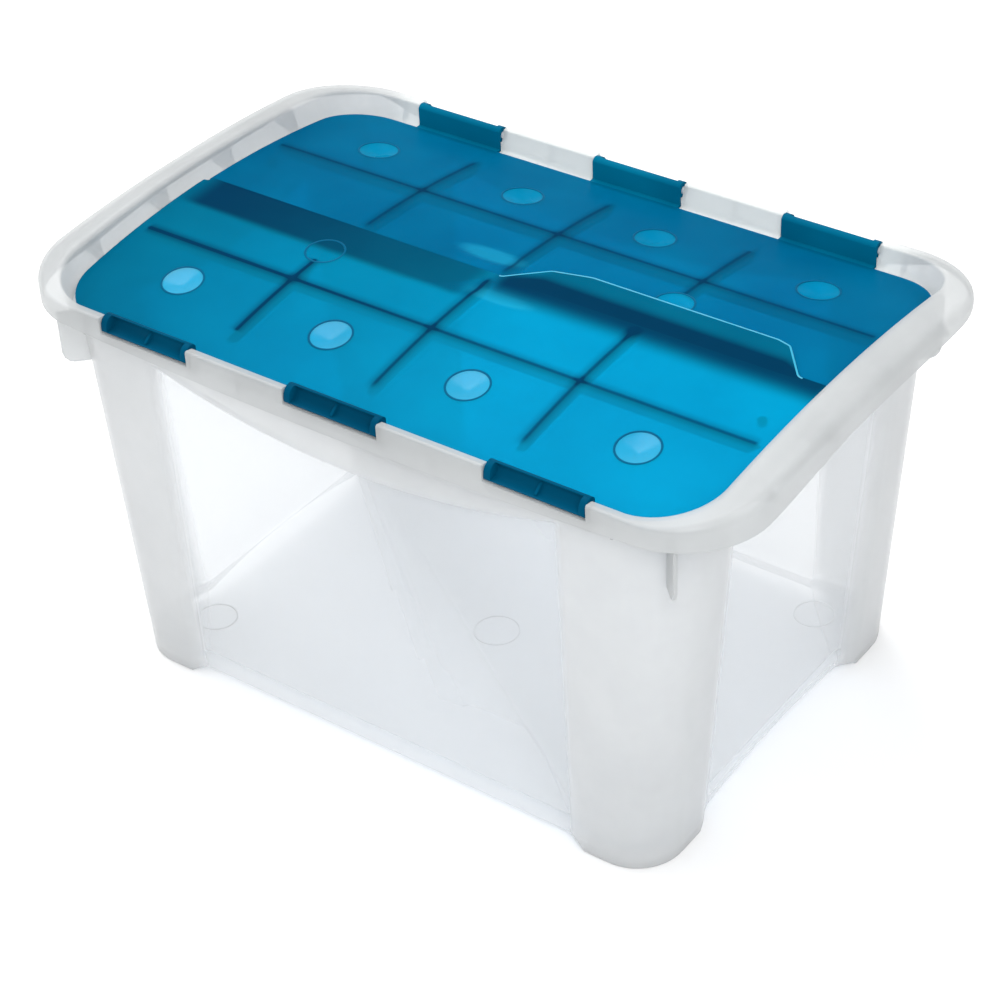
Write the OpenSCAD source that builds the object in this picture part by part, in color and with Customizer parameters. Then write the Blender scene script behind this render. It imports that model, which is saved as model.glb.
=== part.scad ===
/* [Tub] */
// overall length across the rim, mm
rim_length = 600; // [560:10:660]
// overall width across the rim, mm
rim_width = 380; // [360:5:410]
// wall thickness of the tub, mm
wall = 2.4; // [1.8:0.2:3]
// height of the floor underside above the ground, mm
floor_height = 15; // [12:1:20]
// depth of the recessed long panels, mm
long_recess = 5; // [3:0.5:7]
// depth of the recessed short panels, mm
short_recess = 8; // [4:0.5:9]
// how far the curved band under the rim dips at mid length, mm
band_dip = 28; // [10:1:40]

/* [Rim] */
// height of the rim crest at the middle of the short ends, mm
crest_height = 338; // [334:1:344]
// outward projection of the corner fins, mm
fin_reach = 18; // [8:1:19]

/* [Lid] */
// thickness of a lid leaf, mm
leaf_thickness = 2; // [1.6:0.2:2.2]
// depth of the stiffening ribs under a leaf, mm
rib_depth = 8; // [4:1:12]
// depth of the round dimples, mm
dimple_depth = 3.6; // [2:0.2:5]
// how far each tongue reaches past the centre line, mm
tongue_reach = 33; // [20:1:38]

/* [Hinge] */
// radius of the hinge pins, mm
pin_radius = 3; // [2.4:0.2:3.2]
// radial running clearance of the knuckles on the pins, mm
pin_clearance = 0.08; // [0.05:0.01:0.1]
// width of one hinge knuckle, mm
knuckle_width = 78; // [60:1:79]

/* [Hidden] */
$fn = 48;
half_l = rim_length / 2;
half_w = rim_width / 2;
rim_radius = 64;
rim_wall = 2.4;
open_l = half_l - 31;
open_w = half_w - 12.5;
open_radius = 42;
ledge_bottom = 300;
ledge_top = 302;
skirt_corner_z = 303.5;
skirt_mid_z = 296;
end_skirt_z = 314;
wall_top = ledge_bottom;
top_l = open_l - 4.5;
top_w = open_w + 1;
top_radius = 50;
base_l = top_l - 25;
base_w = top_w - 7;
base_radius = 28;
tilt_long = atan((top_w - base_w) / wall_top);
tilt_short = atan((top_l - base_l) / wall_top);
panel_half_l = 178;
panel_half_w = 112;
long_slope = 11;
short_slope = 24;
foot_gap_z = 6.5;
crest_radius = 1102;
hinge_y = half_w - 7;
hinge_z = 315;
knuckle_pitch = 165;
notch_half = 40;
notch_z = 308.5;
cheek = 2.4;
wall_out = 5.4;
wall_in = 3.8;
web = 5;
leaf_edge = half_w - 16.5;
leaf_end = open_l - 1.5;
leaf_corner = 40;
hinge_leaf_z = 304.6;
front_apex = 324.7;
rear_apex = 322;
rib_width = 1.6;
rib_long_y = 76;
rib_pitch = 123.3;
dimple_r = 15;
dimple_y = 114;

function chord_radius(half, rise) = (half * half + rise * rise) / (2 * rise);

front_radius = chord_radius(leaf_edge, front_apex - hinge_leaf_z);
rear_radius = chord_radius(leaf_edge, rear_apex - hinge_leaf_z);

// plan outline with round corners, made of plain squares and circles
module rounded(hl, hw, r) {
  square([2 * hl - 2 * r, 2 * hw], center = true);
  square([2 * hl, 2 * hw - 2 * r], center = true);
  for (sx = [-1, 1], sy = [-1, 1])
    translate([sx * (hl - r), sy * (hw - r)])
      circle(r = r);
}

module slab(hl, hw, r, z0, z1) {
  translate([0, 0, z0])
    linear_extrude(z1 - z0)
      rounded(hl, hw, r);
}

// tapering block that carries the outer or inner skin of the tub
module loft(inset) {
  hull() {
    slab(base_l - inset, base_w - inset, base_radius - inset, 0, 0.01);
    slab(top_l - inset, top_w - inset, top_radius - inset, wall_top - 0.01, wall_top);
  }
}

module along_x(x0, x1) {
  translate([x0, 0, 0])
    rotate([90, 0, 90])
      linear_extrude(x1 - x0)
        children();
}

module along_y(y0, y1) {
  translate([0, y1, 0])
    rotate([90, 0, 0])
      linear_extrude(y1 - y0)
        children();
}

// cross-section of one wall seen from above, outer face on the line y = 0
module recessed_section(half, depth, slope) {
  polygon([
    [-half, 0], [-half + slope, depth], [half - slope, depth], [half, 0], [half, wall],
    [half - slope, depth + wall], [-half + slope, depth + wall], [-half, wall]
  ]);
}

module flat_section(half) {
  translate([-half, 0])
    square([2 * half, wall]);
}

module filled_inner(half, depth, slope) {
  polygon([
    [-half, wall], [-half + slope, depth + wall], [half - slope, depth + wall], [half, wall],
    [half, -40], [-half, -40]
  ]);
}

// disc whose lower edge is the dipping line where the band meets the panel
module band_disc(half, dip, grow) {
  radius = chord_radius(half, dip);
  translate([0, wall_top - 10 - dip + radius])
    circle(r = radius + grow, $fn = 360);
}

// one wall standing on its outer base line, leaning out by the given angle
module wall_piece(half, depth, slope, dip, lean, dist) {
  translate([0, -dist, 0])
    rotate([lean, 0, 0]) {
      difference() {
        linear_extrude(wall_top / cos(lean) - depth * tan(lean) - 4)
          recessed_section(half, depth, slope);
        along_y(-50, 50)
          band_disc(half, dip, 0);
      }
      intersection() {
        linear_extrude(wall_top / cos(lean) + 10)
          flat_section(half);
        along_y(-50, 50)
          band_disc(half, dip, 0);
      }
      intersection() {
        linear_extrude(wall_top / cos(lean) - depth * tan(lean) - 4)
          polygon([
            [-half, wall], [half, wall], [half - slope, depth + wall], [-half + slope, depth + wall]
          ]);
        along_y(-50, 50)
          difference() {
            band_disc(half, dip, 0);
            band_disc(half, dip, -wall);
          }
      }
    }
}

module top_cut() {
  translate([-400, -400, wall_top])
    cube([800, 800, 60]);
}

module long_wall() {
  difference() {
    wall_piece(panel_half_l, long_recess, long_slope, band_dip, tilt_long, base_w);
    top_cut();
    translate([-400, -400, -20])
      cube([800, 800, 20 + foot_gap_z]);
  }
}

module short_wall() {
  arch = chord_radius(panel_half_w - 8, floor_height - 4);
  difference() {
    wall_piece(panel_half_w, short_recess, short_slope, 20, tilt_short, base_l);
    top_cut();
    translate([-400, -400, -20])
      cube([800, 800, 22]);
    along_y(-400, 400)
      translate([0, floor_height - 1 - arch])
        circle(r = arch, $fn = 360);
  }
}

// space taken by the recessed panels, used to trim the floor
module panel_intrusion(half, depth, slope, lean, dist) {
  translate([0, -dist, 0])
    rotate([lean, 0, 0])
      linear_extrude(60)
        filled_inner(half, depth, slope);
}

module floor_solid() {
  difference() {
    intersection() {
      loft(wall);
      translate([-400, -400, floor_height])
        cube([800, 800, wall]);
    }
    for (turn = [0, 180])
      rotate([0, 0, turn])
        panel_intrusion(panel_half_l, long_recess, long_slope, tilt_long, base_w);
    for (turn = [90, 270])
      rotate([0, 0, turn])
        panel_intrusion(panel_half_w, short_recess, short_slope, tilt_short, base_l);
  }
}

module post(sx, sy) {
  mirror([sx < 0 ? 1 : 0, 0, 0])
    mirror([0, sy < 0 ? 1 : 0, 0])
      intersection() {
        difference() {
          loft(0);
          loft(wall);
        }
        translate([panel_half_l, panel_half_w, -1])
          cube([200, 200, 400]);
      }
}

// the upper limit of the whole rim is one wide arch across the width
module crest_profile(drop) {
  translate([0, crest_height - drop - crest_radius])
    circle(r = crest_radius, $fn = 720);
}

module rim_channel() {
  difference() {
    intersection() {
      difference() {
        slab(half_l, half_w, rim_radius, ledge_top - 8, crest_height + 2);
        slab(open_l, open_w, open_radius, 200, 400);
      }
      along_x(-400, 400)
        crest_profile(0);
    }
    intersection() {
      difference() {
        slab(half_l - rim_wall, half_w - rim_wall, rim_radius - rim_wall, 200, 400);
        slab(open_l + rim_wall, open_w + rim_wall, open_radius + rim_wall, 100, 500);
      }
      along_x(-400, 400)
        crest_profile(rim_wall);
    }
    // below the ledge only the outer skirt goes on
    slab(open_l + rim_wall + 0.01, open_w + rim_wall + 0.01, open_radius + rim_wall, 200, ledge_top);
  }
}

module ledge() {
  difference() {
    slab(open_l + rim_wall, open_w + rim_wall, open_radius + rim_wall, ledge_bottom, ledge_top);
    slab(top_l - wall, top_w - wall, top_radius - wall, 200, 400);
  }
}

module skirt_trim() {
  // short ends lift in the middle
  for (sx = [-1, 1])
    intersection() {
      translate([sx * (half_l - 14) - 15, -400, 200])
        cube([30, 800, 200]);
      along_x(-400, 400)
        translate([0, end_skirt_z - chord_radius(126, end_skirt_z - skirt_corner_z)])
          circle(r = chord_radius(126, end_skirt_z - skirt_corner_z), $fn = 360);
    }
  // corners end level
  for (sx = [-1, 1])
    translate([sx * (half_l - 50) - 50, -400, 200])
      cube([100, 800, skirt_corner_z - 200]);
}

module notch(c) {
  translate([c - notch_half, -half_w - 5, notch_z])
    cube([2 * notch_half, 10, 60]);
  translate([c - notch_half, -half_w + 4, ledge_top])
    cube([2 * notch_half, 16, 60]);
}

module cheeks(c) {
  for (s = [-1, 1])
    intersection() {
      translate([c + s * (notch_half + cheek / 2) - cheek / 2, -half_w + rim_wall, ledge_top])
        cube([cheek, half_w - rim_wall - open_w - rim_wall, 60]);
      along_x(-400, 400)
        crest_profile(rim_wall);
    }
}

module gusset_long(x) {
  intersection() {
    translate([x - 0.8, -half_w + rim_wall, ledge_top])
      cube([1.6, half_w - rim_wall - open_w - rim_wall, 60]);
    along_x(-400, 400)
      crest_profile(rim_wall);
  }
}

module gusset_short(y) {
  intersection() {
    translate([open_l + rim_wall, y - 0.8, ledge_top + 12])
      cube([half_l - open_l - 2 * rim_wall, 1.6, 60]);
    along_x(-400, 400)
      crest_profile(rim_wall);
  }
}

module long_rim() {
  sag = chord_radius(half_l - rim_radius, skirt_corner_z - skirt_mid_z);
  intersection() {
    union() {
      difference() {
        rim_channel();
        for (c = [-knuckle_pitch, 0, knuckle_pitch])
          notch(c);
      }
      ledge();
      for (c = [-knuckle_pitch, 0, knuckle_pitch])
        cheeks(c);
      for (x = [-223, -82.5, 82.5, 223])
        gusset_long(x);
    }
    translate([-half_l + rim_radius, -half_w - 10, 200])
      cube([rim_length - 2 * rim_radius, half_w, 200]);
    along_y(-400, 400)
      translate([0, skirt_mid_z + sag])
        circle(r = sag, $fn = 720);
  }
}

module short_rim() {
  intersection() {
    difference() {
      union() {
        rim_channel();
        ledge();
        for (y = [-112, -37, 37, 112])
          gusset_short(y);
      }
      difference() {
        skirt_trim();
        slab(open_l + rim_wall, open_w + rim_wall, open_radius + rim_wall, 100, 400);
      }
    }
    translate([half_l - rim_radius, -half_w - 10, 200])
      cube([200, rim_width + 20, 200]);
  }
}

module fin(sx, sy) {
  mirror([sx < 0 ? 1 : 0, 0, 0])
    mirror([0, sy < 0 ? 1 : 0, 0])
      difference() {
        translate([top_l - top_radius, top_w - top_radius, 0])
          rotate([0, 0, 45])
            along_y(-1.4, 1.4)
              polygon([
                [top_radius - 10, skirt_corner_z - 3.5],
                [top_radius + fin_reach, skirt_corner_z - 3.5],
                [top_radius + fin_reach, skirt_corner_z - 38],
                [top_radius + fin_reach - 8, skirt_corner_z - 46],
                [top_radius - 10, skirt_corner_z - 46]
              ]);
        loft(0);
      }
}

module pins() {
  for (c = [-knuckle_pitch, 0, knuckle_pitch], s = [-1, 1])
    translate([c + s * (notch_half - 2.75) - 2.75, -hinge_y, hinge_z])
      rotate([0, 90, 0])
        cylinder(r = pin_radius, h = 5.5);
}

// plan outline of a leaf: hinge side at -y, tongue on the +x half
module leaf_outline() {
  difference() {
    union() {
      translate([-leaf_end + leaf_corner, -leaf_edge])
        square([2 * leaf_end - 2 * leaf_corner, leaf_edge]);
      translate([-leaf_end, -leaf_edge + leaf_corner])
        square([2 * leaf_end, leaf_edge - leaf_corner]);
      for (s = [-1, 1])
        translate([s * (leaf_end - leaf_corner), -leaf_edge + leaf_corner])
          circle(r = leaf_corner);
      polygon([
        [4, -1], [30, tongue_reach - 8], [60, tongue_reach], [214, tongue_reach],
        [222, tongue_reach - 4], [246, 0], [246, -1]
      ]);
    }
    translate([-leaf_end, 0])
      circle(r = 5);
  }
}

module arch_ring(apex, radius, outer_drop, inner_drop) {
  difference() {
    translate([0, apex - radius])
      circle(r = radius - outer_drop, $fn = 720);
    translate([0, apex - radius])
      circle(r = radius - inner_drop, $fn = 720);
  }
}

module dish(hole) {
  if (hole)
    translate([0, 0, -10])
      cylinder(r = dimple_r, h = 20);
  else
    rotate_extrude()
      polygon([
        [0, -dimple_depth], [dimple_r * 0.35, -dimple_depth * 0.86],
        [dimple_r * 0.7, -dimple_depth * 0.46], [dimple_r, -0.5], [dimple_r + 1, -0.5],
        [dimple_r + 1, -leaf_thickness + 0.5], [dimple_r, -leaf_thickness + 0.4],
        [dimple_r * 0.7, -dimple_depth * 0.46 - 1.4],
        [dimple_r * 0.35, -dimple_depth * 0.86 - 1.4], [0, -dimple_depth - 1.4]
      ]);
}

module at_dimples(apex, radius) {
  slope = asin(dimple_y / radius);
  for (x = [-194.3, -58.6, 58.6, 194.3])
    translate([x, -radius * sin(slope), apex - radius + radius * cos(slope)])
      rotate([slope, 0, 0])
        children();
}

module leaf_panel(apex, radius) {
  difference() {
    intersection() {
      translate([0, 0, 250])
        linear_extrude(120)
          leaf_outline();
      along_x(-400, 400)
        arch_ring(apex, radius, 0, leaf_thickness);
    }
    at_dimples(apex, radius)
      dish(true);
  }
  at_dimples(apex, radius)
    dish(false);
}

module leaf_ribs(apex, radius) {
  intersection() {
    union() {
      translate([-leaf_end + 6, -rib_long_y - rib_width / 2, 250])
        cube([2 * leaf_end - 12, rib_width, 100]);
      for (x = [-rib_pitch, 0, rib_pitch])
        translate([x - rib_width / 2, -146, 250])
          cube([rib_width, 146 - tongue_reach - 8, 100]);
    }
    along_x(-400, 400)
      arch_ring(apex, radius, leaf_thickness, leaf_thickness + rib_depth);
  }
}

// open trough behind the rim line, hung on a pin at each end
module knuckle(c) {
  half = knuckle_width / 2;
  floor_z = hinge_leaf_z - leaf_thickness;
  difference() {
    union() {
      along_x(c - half, c + half)
        translate([-hinge_y, hinge_z]) {
          translate([wall_in, floor_z - hinge_z])
            square([wall_out - wall_in, hinge_z - floor_z + 5]);
          polygon([
            [wall_in + 0.4, 1], [2.2, -1.6], [-0.5, -3.2], [-6.3, -3.6], [-5.4, -5],
            [-0.8, -4.8], [wall_in + 0.4, -3.4]
          ]);
          translate([wall_in, floor_z - hinge_z])
            square([hinge_y - wall_in - leaf_edge, leaf_thickness]);
        }
      for (x = [c - half, c + half - web])
        along_x(x, x + web)
          translate([-hinge_y, hinge_z])
            circle(r = 6.4);
      along_x(c - 1, c + 1)
        translate([-hinge_y, hinge_z])
          polygon([[wall_in + 0.4, 3], [-4.5, -1.5], [-4.5, -4], [wall_in + 0.4, -3]]);
    }
    for (x = [c - half - 1, c + half - web - 0.5])
      translate([x, -hinge_y, hinge_z])
        rotate([0, 90, 0])
          cylinder(r = pin_radius + pin_clearance, h = web + 1.5);
  }
}

module floor_plate() {
  color("#e6e8ea")
    floor_solid();
}

module wall_front() {
  color("#eceeef")
    long_wall();
}

module wall_rear() {
  color("#eceeef")
    rotate([0, 0, 180])
      long_wall();
}

module wall_right() {
  color("#eceeef")
    rotate([0, 0, 90])
      short_wall();
}

module wall_left() {
  color("#eceeef")
    rotate([0, 0, 270])
      short_wall();
}

module post_front_left() {
  color("#d9dcde")
    post(-1, -1);
}

module post_front_right() {
  color("#d9dcde")
    post(1, -1);
}

module post_rear_left() {
  color("#d9dcde")
    post(-1, 1);
}

module post_rear_right() {
  color("#d9dcde")
    post(1, 1);
}

module rim_front() {
  color("#cfd3d5")
    long_rim();
}

module rim_rear() {
  color("#cfd3d5")
    rotate([0, 0, 180])
      long_rim();
}

module rim_right() {
  color("#c9ced0")
    short_rim();
}

module rim_left() {
  color("#c9ced0")
    rotate([0, 0, 180])
      short_rim();
}

module corner_fins() {
  color("#d3d7d9")
    for (sx = [-1, 1], sy = [-1, 1])
      fin(sx, sy);
}

module hinge_pins_front() {
  color("#dfe2e4")
    pins();
}

module hinge_pins_rear() {
  color("#dfe2e4")
    rotate([0, 0, 180])
      pins();
}

module front_leaf_panel() {
  color("#0091c4")
    leaf_panel(front_apex, front_radius);
}

module front_leaf_ribs() {
  color("#00618f")
    leaf_ribs(front_apex, front_radius);
}

module front_knuckle_left() {
  color("#005a86")
    knuckle(-knuckle_pitch);
}

module front_knuckle_mid() {
  color("#005a86")
    knuckle(0);
}

module front_knuckle_right() {
  color("#005a86")
    knuckle(knuckle_pitch);
}

module rear_leaf_panel() {
  color("#0083b4")
    rotate([0, 0, 180])
      leaf_panel(rear_apex, rear_radius);
}

module rear_leaf_ribs() {
  color("#00618f")
    rotate([0, 0, 180])
      leaf_ribs(rear_apex, rear_radius);
}

module rear_knuckle_left() {
  color("#005a86")
    rotate([0, 0, 180])
      knuckle(knuckle_pitch);
}

module rear_knuckle_mid() {
  color("#005a86")
    rotate([0, 0, 180])
      knuckle(0);
}

module rear_knuckle_right() {
  color("#005a86")
    rotate([0, 0, 180])
      knuckle(-knuckle_pitch);
}

floor_plate();
wall_front();
wall_rear();
wall_left();
wall_right();
post_front_left();
post_front_right();
post_rear_left();
post_rear_right();
rim_front();
rim_rear();
rim_left();
rim_right();
corner_fins();
hinge_pins_front();
hinge_pins_rear();
front_leaf_panel();
front_leaf_ribs();
front_knuckle_left();
front_knuckle_mid();
front_knuckle_right();
rear_leaf_panel();
rear_leaf_ribs();
rear_knuckle_left();
rear_knuckle_mid();
rear_knuckle_right();
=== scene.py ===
import math

import bmesh
import bpy
from mathutils import Matrix, Vector


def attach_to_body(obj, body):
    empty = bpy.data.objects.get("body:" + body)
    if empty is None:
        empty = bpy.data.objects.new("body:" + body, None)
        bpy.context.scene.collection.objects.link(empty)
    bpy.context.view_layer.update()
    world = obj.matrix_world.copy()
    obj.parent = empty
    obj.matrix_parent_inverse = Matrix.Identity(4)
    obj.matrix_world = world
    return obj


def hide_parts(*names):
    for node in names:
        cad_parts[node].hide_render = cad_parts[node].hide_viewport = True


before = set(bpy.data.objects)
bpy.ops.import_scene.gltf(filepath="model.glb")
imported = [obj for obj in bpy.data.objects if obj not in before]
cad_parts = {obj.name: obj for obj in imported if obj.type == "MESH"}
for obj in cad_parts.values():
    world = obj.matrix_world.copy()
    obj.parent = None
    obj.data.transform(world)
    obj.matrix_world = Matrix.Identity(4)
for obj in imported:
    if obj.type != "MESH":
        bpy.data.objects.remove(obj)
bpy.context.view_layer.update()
MM = 0.001

# Sizes in millimetres. x runs along the box, y to its far long side, z up. Half lengths, half
# widths and corner radii are of the rim, of its mouth, and of the tub's top and base.
HALF_L, HALF_W, RIM_R = 300.0, 190.0, 64.0
OPEN_L, OPEN_W, OPEN_R = 269.0, 177.5, 42.0
TOP_L, TOP_W, TOP_R = 264.5, 178.5, 50.0
BASE_L, BASE_W, BASE_R = 239.5, 171.5, 37.0
WALL, RIM_WALL = 2.4, 2.4
FLOOR_Z, WALL_TOP, LEDGE_TOP = 15.0, 300.0, 302.0
FILLET = 7.0  # rounding between floor and walls

# recessed panels of the long and short walls, and the frosted band above them
PANEL_L, PANEL_W = 178.0, 112.0
PANEL_SLOPE = {"long": 11.0, "short": 24.0}
PANEL_DEPTH = {"long": 5.0, "short": 8.0}
BAND_DIP = {"long": 28.0, "short": 20.0}
BAND_Z = 290.0
EDGE_BELOW, EDGE_ABOVE = 3.6, 0.4
PANEL_ROWS, EDGE_ROWS, BAND_ROWS = 22, 7, 5

# cut-outs under the walls, between the feet
LONG_GAP, LONG_GAP_Z = 187.5, 6.5
SHORT_GAP, SHORT_GAP_Z, SHORT_RISE = 104.0, 3.0, 11.0

# rim: its top is an arc over the width of the box, its skirt hangs down outside
CREST_Z, CREST_R = 338.0, 1102.0
NARROW, WIDENING = 12.5, 18.5  # width beside the hinges, and how much more it has elsewhere
LEAN = 5.0  # slant of the inner face
SKIRT_MID, SKIRT_END, SKIRT_ARCH = 296.0, 303.5, 10.5
FAR_LIFT, LEAST_FACE = 12.0, 4.0

# hinges: notches in the rim, thickened beside them, with the knuckles inside
HINGE_Y, HINGE_Z, PITCH = 183.0, 315.0, 165.0
PLACES = (-PITCH, 0.0, PITCH)
NOTCH_HALF, PAD_HALF, KNUCKLE_HALF = 40.0, 42.4, 39.0
WEB_WIDTH, BORE_R, BORE_LENGTH = 5.0, 3.08, 5.7

# thin plates inside the rim and under its corners
GUSSET_X = (-223.0, -82.5, 82.5, 223.0)
GUSSET_Y = (-112.0, -37.0, 37.0, 112.0)
GUSSET_HALF = 0.8
FIN_TOP, FIN_HALF, FIN_BEVEL = 299.6, 1.4, 0.5
FIN_NEAR, FIN_FAR = (68.0, 257.2), (66.0, 249.0)  # reach from the corner's centre, lower edge

# lid leaves: both are the front leaf, the rear one lower and turned half round
LEAF_EDGE, LEAF_END, LEAF_R = 173.5, 267.5, 40.0
LEAF_Z, LEAF_THICK = 304.6, 2.0
FRONT_APEX, REAR_APEX = 324.7, 322.0
TONGUE = 33.0
SCOOP, SCOOP_SIZE, SCOOP_DEPTH = (21.0, -22.0), (34.0, 9.5), 0.9
DIMPLES = (-194.3, -58.6, 58.6, 194.3)
DIMPLE_Y, DIMPLE_R, DIMPLE_DEPTH = 114.0, 15.0, 3.8
SEAM_DISH = (-124.0, -38.0, 14.0)  # x, y, radius
SEAM_SIDE, SHALLOW = -60.0, 1.0  # where dishes belong to the seam, and how deep is shallow
DISHES = [(x, -DIMPLE_Y, DIMPLE_R) for x in DIMPLES] + [SEAM_DISH]
RIB_X, RIB_STOPS = (-123.3, 0.0, 123.3), (-53.5, -6.0, -4.0)
RIB_Y, RIB_END, RIB_START, RIB_DEPTH = -76.0, 261.5, -148.0, 8.0
PEG = (249.0, -52.0)

# moulding rings on the floor: x, y, radius
FLOOR_RINGS = ((193, 126, 15), (-193, 126, 15), (193, -126, 15), (-193, -126, 15), (0, -22, 17))


# ---------------------------------------------------------------- mesh helpers
def put(name, verts, faces, angle=35.0):
    """A mesh object from points in millimetres, with its normals turned outwards."""
    mesh = bpy.data.meshes.new(name)
    mesh.from_pydata([(x * MM, y * MM, z * MM) for x, y, z in verts], [], faces)
    mesh.validate()
    bm = bmesh.new()
    bm.from_mesh(mesh)
    bmesh.ops.recalc_face_normals(bm, faces=bm.faces)
    bm.to_mesh(mesh)
    bm.free()
    obj = bpy.data.objects.new(name, mesh)
    bpy.context.scene.collection.objects.link(obj)
    smooth(obj, angle)
    return obj


def smooth(obj, angle=35.0):
    """Smooth shading, with edges sharper than angle kept crisp."""
    mesh = obj.data
    mesh.polygons.foreach_set("use_smooth", [True] * len(mesh.polygons))
    mesh.set_sharp_from_angle(angle=math.radians(angle))
    mesh.update()


def bake_modifiers(obj, angle=35.0):
    """Replaces the mesh by the one its modifiers give."""
    graph = bpy.context.evaluated_depsgraph_get()
    fresh = bpy.data.meshes.new_from_object(obj.evaluated_get(graph))
    obj.modifiers.clear()
    old = obj.data
    obj.data = fresh
    fresh.name = old.name + "_done"
    bpy.data.meshes.remove(old)
    smooth(obj, angle)


def carve(obj, other, kind="DIFFERENCE", angle=35.0):
    """Boolean of obj with other, which is used up."""
    mod = obj.modifiers.new("carve", "BOOLEAN")
    mod.operation = kind
    mod.solver = "EXACT"
    mod.object = other
    bake_modifiers(obj, angle)
    data = other.data
    bpy.data.objects.remove(other)
    bpy.data.meshes.remove(data)


def bevel(obj, width, limit, angle=35.0):
    """Rounds the edges sharper than limit."""
    mod = obj.modifiers.new("bevel", "BEVEL")
    mod.width = width * MM
    mod.segments = 2
    mod.limit_method = "ANGLE"
    mod.angle_limit = math.radians(limit)
    mod.use_clamp_overlap = True
    bake_modifiers(obj, angle)


def stack(name, loops, closed=False, angle=35.0):
    """Bridges loops of equal length into one skin, closed by flat caps or back on itself."""
    count = len(loops[0])
    verts = [p for loop in loops for p in loop]
    faces = []
    last = len(loops) if closed else len(loops) - 1
    for r in range(last):
        a, b = r * count, ((r + 1) % len(loops)) * count
        for i in range(count):
            j = (i + 1) % count
            faces.append((a + i, a + j, b + j, b + i))
    if not closed:
        faces.append(tuple(range(count)))
        top = (len(loops) - 1) * count
        faces.append(tuple(top + i for i in reversed(range(count))))
    return put(name, verts, faces, angle)


def prism_x(name, outline, x0, x1):
    return stack(name, [[(x, y, z) for y, z in outline] for x in (x0, x1)])


def prism_z(name, outline, z0, z1):
    return stack(name, [[(x, y, z) for x, y in outline] for z in (z0, z1)])


def circle(count):
    """Cosine and sine of evenly spaced angles all round."""
    angles = [2 * math.pi * k / count for k in range(count)]
    return [(math.cos(a), math.sin(a)) for a in angles]


def turned(obj):
    """Half a turn about the vertical through the origin."""
    obj.data.transform(Matrix.Rotation(math.pi, 4, "Z"))
    return obj


def joined(name, parts):
    """Several closed meshes kept as shells of one object."""
    bm = bmesh.new()
    for part in parts:
        bm.from_mesh(part.data)
        data = part.data
        bpy.data.objects.remove(part)
        bpy.data.meshes.remove(data)
    mesh = bpy.data.meshes.new(name)
    bm.to_mesh(mesh)
    bm.free()
    obj = bpy.data.objects.new(name, mesh)
    bpy.context.scene.collection.objects.link(obj)
    smooth(obj)
    return obj


def lerp(a, b, t):
    return a + (b - a) * t


def ease(t):
    t = min(1.0, max(0.0, t))
    return t * t * (3 - 2 * t)


def chord(half, rise):
    """Radius of the arc over a chord of that half length and rise."""
    return (half * half + rise * rise) / (2 * rise)


def crest(y):
    return CREST_Z - CREST_R + math.sqrt(CREST_R**2 - y * y)


# ---------------------------------------------------------------- plan loops
def spread(edge, inner, step):
    """Sample places along a straight side, symmetric, dense between inner and edge."""
    right = [inner + (edge - inner) * k / 10 for k in range(11)]
    n = max(1, round(inner / step))
    middle = [inner * k / n for k in range(n)]
    half = middle + right
    return [-v for v in reversed(half[1:])] + half


# where the plans have points: along a straight side as fractions of its half length, and how
# many steps round a corner
LONG_RUN, SHORT_RUN = 213, 136
LONG = [v / LONG_RUN for v in spread(180, 164, 11)]
LONG = [-1.0, -0.95, -0.9] + LONG + [0.9, 0.95, 1.0]
SHORT = [v / SHORT_RUN for v in spread(114, 86, 9)]
SHORT = [-1.0, -0.92] + SHORT + [0.92, 1.0]
CORNER = 14


def plan(hl, hw, r):
    """Rounded rectangle as (x, y, nx, ny, side, along). Every loop has the same count and order."""
    out = []
    sides = (
        (LONG, (1, 0), (0, -1), hl - r, hw, "long"),
        (SHORT, (0, 1), (1, 0), hw - r, hl, "short"),
        (LONG, (-1, 0), (0, 1), hl - r, hw, "long"),
        (SHORT, (0, -1), (-1, 0), hw - r, hl, "short"),
    )
    for fractions, run, nrm, half, dist, kind in sides:
        for f in fractions:
            t = f * half
            x, y = run[0] * t + nrm[0] * dist, run[1] * t + nrm[1] * dist
            out.append((x, y, nrm[0], nrm[1], kind, t))
        cx, cy = run[0] * half + nrm[0] * (dist - r), run[1] * half + nrm[1] * (dist - r)
        a0 = math.atan2(nrm[1], nrm[0])
        for k in range(1, CORNER):
            a = a0 + (math.pi / 2) * k / CORNER
            nx, ny = math.cos(a), math.sin(a)
            out.append((cx + r * nx, cy + r * ny, nx, ny, "corner", 0.0))
    return out


def body_plan(z):
    """Plan of the drafted tub at height z."""
    f = z / WALL_TOP
    return plan(lerp(BASE_L, TOP_L, f), lerp(BASE_W, TOP_W, f), lerp(BASE_R, TOP_R, f))


# ---------------------------------------------------------------- tub body
NOMINAL = body_plan(WALL_TOP / 2)
PANEL_HALF = {"long": PANEL_L, "short": PANEL_W}
PLANS = {}  # body plans already worked out, by height


def band_line(kind, t):
    """Height of the band's lower edge, an arc over each panel."""
    if kind == "corner" or abs(t) >= PANEL_HALF[kind]:
        return BAND_Z
    r = chord(PANEL_HALF[kind], BAND_DIP[kind])
    return BAND_Z - BAND_DIP[kind] + r - math.sqrt(r * r - t * t)


def recess(kind, t, z):
    """How far the wall is set in at that place."""
    if kind == "corner":
        return 0.0
    aside = ease((PANEL_HALF[kind] - abs(t)) / PANEL_SLOPE[kind])
    return PANEL_DEPTH[kind] * aside * ease((band_line(kind, t) - z) / 3.2)


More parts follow.
